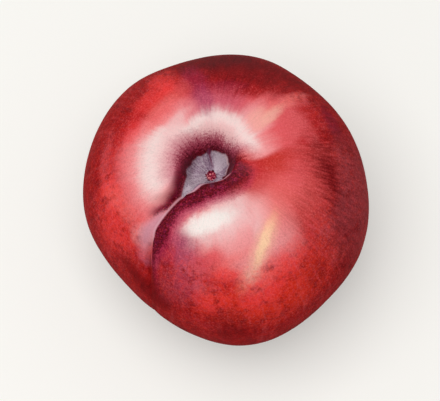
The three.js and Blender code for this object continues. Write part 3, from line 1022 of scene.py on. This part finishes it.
def pit_lining(skin):
    """The pit's grey lining with its hairlines, and the creases in its far wall, darkened as painted
    shade.
    """
    tongue = skin.math("MULTIPLY_ADD", skin.less(skin.reach, TONGUE.reach), TONGUE.slope, TONGUE.beside)
    tongue = skin.ease(skin.less(skin.beside, tongue), TONGUE.edge)
    tongue = skin.times(tongue, skin.within(from_suture=TONGUE.front, reach=TONGUE.end))
    past_edge = skin.less(skin.reach, skin.ring(*LINING.ring))
    past_edge = skin.shaken(past_edge, skin.hairs, LINING.hairy)
    past_brink = skin.times(skin.past_brink, skin.within(around=LINING.round_end))
    seen = skin.times(skin.less(1.0, past_brink), skin.crown)

    skin.lay(NIGHT, skin.hump(past_edge, *LINING.shadow), skin.far_side, seen, LINING.shadow_share)
    lining = skin.math("MAXIMUM", skin.ease(past_edge, LINING.edge), tongue)
    shade = skin.hairs
    for side, growth in LINING.shades:
        shade = skin.math("MULTIPLY_ADD", skin.toward(side), growth, shade)
    shade = skin.shaken(shade, skin.speckle, LINING.speckled)
    skin.lay(skin.over(SLATE, LILAC, skin.ease(shade, LINING.shade)), lining, seen)
    rim = skin.hump(past_edge, *LINING.rim)
    skin.lay(SHELL, rim, skin.toward(LINING.rim_side), seen, LINING.rim_share)
    for crease in CREASES:
        half_width = skin.ease(skin.from_scar, *crease.half_width)
        cover = skin.hump(skin.beside_crease, skin.ease(skin.from_scar, *crease.middle), half_width)
        cover = skin.times(cover, skin.within(from_scar=crease.start), skin.within(from_scar=crease.end))
        skin.lay(crease.hue, cover, skin.crown, crease.share)


def lip_line(skin):
    """The pale line along the near cheek's edge, and the dark that sets it off."""
    along = skin.times(skin.within(around=LIP_LINE.round_end), skin.crown)
    under = skin.hump(skin.from_brink, LIP_SHADOW.inset, LIP_SHADOW.half_width)
    skin.lay(NIGHT, under, skin.within(reach=LIP_SHADOW.end), along, LIP_SHADOW.share)
    line = skin.hump(skin.from_brink, LIP_LINE.inset, LIP_LINE.half_width)
    line = skin.times(line, skin.within(reach=LIP_LINE.start), skin.within(reach=LIP_LINE.end))
    skin.lay(DUSK, line, along, LIP_LINE.share)


def stem_scar(skin):
    """The broken end of the stalk: dark, with red grit, and pale specks in it that are painted glints."""
    grit = skin.noise(skin.place, *GRIT_NOISE)
    ragged = skin.shaken(skin.from_scar, grit, SCAR_PAINT.ragged)
    scar = skin.over(NIGHT, DAMSON, skin.ease(grit, SCAR_PAINT.damson))
    scar = skin.over(scar, PETAL, skin.ease(grit, SCAR_PAINT.petal))
    skin.lay(scar, skin.ease(ragged, SCAR_PAINT.edge), skin.crown)


BLOSSOM_END = Named(top=(6, 3), ragged=1.5, stain=(2.6, 0.8), stain_share=0.8, tip=(0.6, 0.35))


def blossom_end(skin):
    """The dry tip that the style left underneath, and the dark stain round it."""
    under = skin.within(height=BLOSSOM_END.top)
    away = skin.vector("LENGTH", skin.vector("MULTIPLY", skin.place, (1, 1, 0)))
    away = skin.shaken(away, skin.fleck, BLOSSOM_END.ragged)
    skin.lay(NIGHT, under, skin.ease(away, BLOSSOM_END.stain), BLOSSOM_END.stain_share)
    skin.lay(STRAW, under, skin.ease(away, BLOSSOM_END.tip))


GRAIN = Named(
    strength=((0.1, 0.7), 1.75, 0.35), strokes=0.7,  # it weakens as the skin grows brighter
    hairline=(0.52, 0.75), hairline_bright=(0.35, 0.8), hairline_share=0.25,
    haze=(0.52, 0.78), haze_share=((0.7, 0.1), 0.0, 0.03),
)


def grain(skin):
    """Lightens and darkens the whole skin a little in specks and in fine streaks."""
    bright = skin.parts(skin.colour)[0]
    strokes = skin.times(skin.less(skin.strokes, 0.5), GRAIN.strokes)
    specks = skin.math("ADD", skin.less(skin.speckle, 0.5), strokes)
    specks = skin.times(specks, skin.ease(bright, *GRAIN.strength))
    skin.colour = skin.vector("MULTIPLY", skin.colour, skin.grey(skin.math("ADD", specks, 1.0)))
    hairline = skin.ease(bright, GRAIN.hairline_bright)
    skin.lay(MAUVE, skin.within(strokes=GRAIN.hairline), hairline, skin.crown, GRAIN.hairline_share)
    skin.lay(DUSK, skin.within(speckle=GRAIN.haze), skin.ease(bright, *GRAIN.haze_share))


ROUGHNESS = ((10, 60), 0.75, 0.48)  # the waxy crown is smoother than the sides
SHINE = ((25, 60), 0.03, 0.1)


def skin_material():
    material = bpy.data.materials.new("plum_skin")
    material.use_nodes = True
    skin = SkinPaint(material.node_tree)
    ground(skin)
    crown_rings(skin)
    lay_flushes(skin, FLUSHES)
    far_bloom_and_highlight(skin)
    lay_flushes(skin, BLOOMS_AND_HIGHLIGHTS)
    for layer in (
        right_slope, mottles, pit_shade_band, far_fold, near_edge_shade, pit_lining, lip_line, stem_scar,
        blossom_end, grain,
    ):
        layer(skin)
    shader = material.node_tree.nodes["Principled BSDF"]
    skin.feed(shader.inputs["Base Color"], skin.colour)
    skin.feed(shader.inputs["Roughness"], skin.ease(skin.lift, *ROUGHNESS))
    skin.feed(shader.inputs["Specular IOR Level"], skin.ease(skin.lift, *SHINE))
    return material


# ---- The piece ----


def build_plum():
    mesh = skin_mesh()
    mesh.materials.append(skin_material())
    skin = bpy.data.objects.new("plum_skin", mesh)
    bpy.context.scene.collection.objects.link(skin)
    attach(skin, "root")
    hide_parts("plum")


# ---- Floor, light and camera, in metres and watts ----

FLOOR_HALF = 2.0
PAPER = tint(212, 211, 207)
PAPER_LIFT = 0.46
WORLD_STRENGTH = 0.45
SOFTBOX = Named(size=0.5, power=2.6, place=(-0.1, -0.06, 0.62))
CAMERA_ELEVATION = 72  # degrees above level
CAMERA_DISTANCE = 0.52
SENSOR = 36  # millimetres
VIEW_WIDTH = 90.7 * MM  # what the picture's width covers at the fruit
AIM_OFFSET = (-1.2 * MM, -0.15 * MM, 0.15 * MM)  # from the middle of the fruit's box


def build_floor():
    mesh = bpy.data.meshes.new("floor")
    corners = [(-1, -1), (1, -1), (1, 1), (-1, 1)]
    mesh.from_pydata([(x * FLOOR_HALF, y * FLOOR_HALF, 0) for x, y in corners], [], [(0, 1, 2, 3)])
    floor = bpy.data.objects.new("floor", mesh)
    bpy.context.scene.collection.objects.link(floor)
    material = bpy.data.materials.new("paper_floor")
    material.use_nodes = True
    shader = material.node_tree.nodes["Principled BSDF"]
    shader.inputs["Base Color"].default_value = PAPER
    shader.inputs["Roughness"].default_value = 1.0
    shader.inputs["Specular IOR Level"].default_value = 0.0
    lift_paper(Paint(material.node_tree), shader)
    mesh.materials.append(material)


def lift_paper(paint, shader):
    """Lifts the floor to the paper's own paleness where the camera or a reflection sees it."""
    rays = paint.node("ShaderNodeLightPath").outputs
    seen = paint.math("MAXIMUM", rays["Is Camera Ray"], rays["Is Glossy Ray"])
    paint.feed(shader.inputs["Emission Color"], PAPER)
    paint.feed(shader.inputs["Emission Strength"], paint.times(seen, PAPER_LIFT))


def aim(thing, place, target):
    thing.location = place
    thing.rotation_euler = (target - place).to_track_quat("-Z", "Y").to_euler()


def build_lights(target):
    world = bpy.data.worlds.new("studio")
    bpy.context.scene.world = world
    world.use_nodes = True
    background = world.node_tree.nodes["Background"]
    background.inputs["Color"].default_value = (1, 1, 1, 1)
    background.inputs["Strength"].default_value = WORLD_STRENGTH
    lamp = bpy.data.lights.new("softbox", "AREA")
    lamp.size = SOFTBOX.size
    lamp.energy = SOFTBOX.power
    softbox = bpy.data.objects.new("softbox", lamp)
    bpy.context.scene.collection.objects.link(softbox)
    aim(softbox, Vector(SOFTBOX.place), target)


def build_camera(target):
    elevation = math.radians(CAMERA_ELEVATION)
    back = Vector((0, -math.cos(elevation), math.sin(elevation)))
    lens = bpy.data.cameras.new("camera")
    lens.sensor_width = SENSOR
    lens.lens = SENSOR * CAMERA_DISTANCE / VIEW_WIDTH
    camera = bpy.data.objects.new("camera", lens)
    bpy.context.scene.collection.objects.link(camera)
    aim(camera, target + back * CAMERA_DISTANCE, target)
    bpy.context.scene.camera = camera


build_plum()
lowest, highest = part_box("plum")
target = (Vector(lowest) + Vector(highest)) / 2 + Vector(AIM_OFFSET)
build_floor()
build_camera(target)
build_lights(target)
bpy.context.scene.view_settings.view_transform = "Standard"
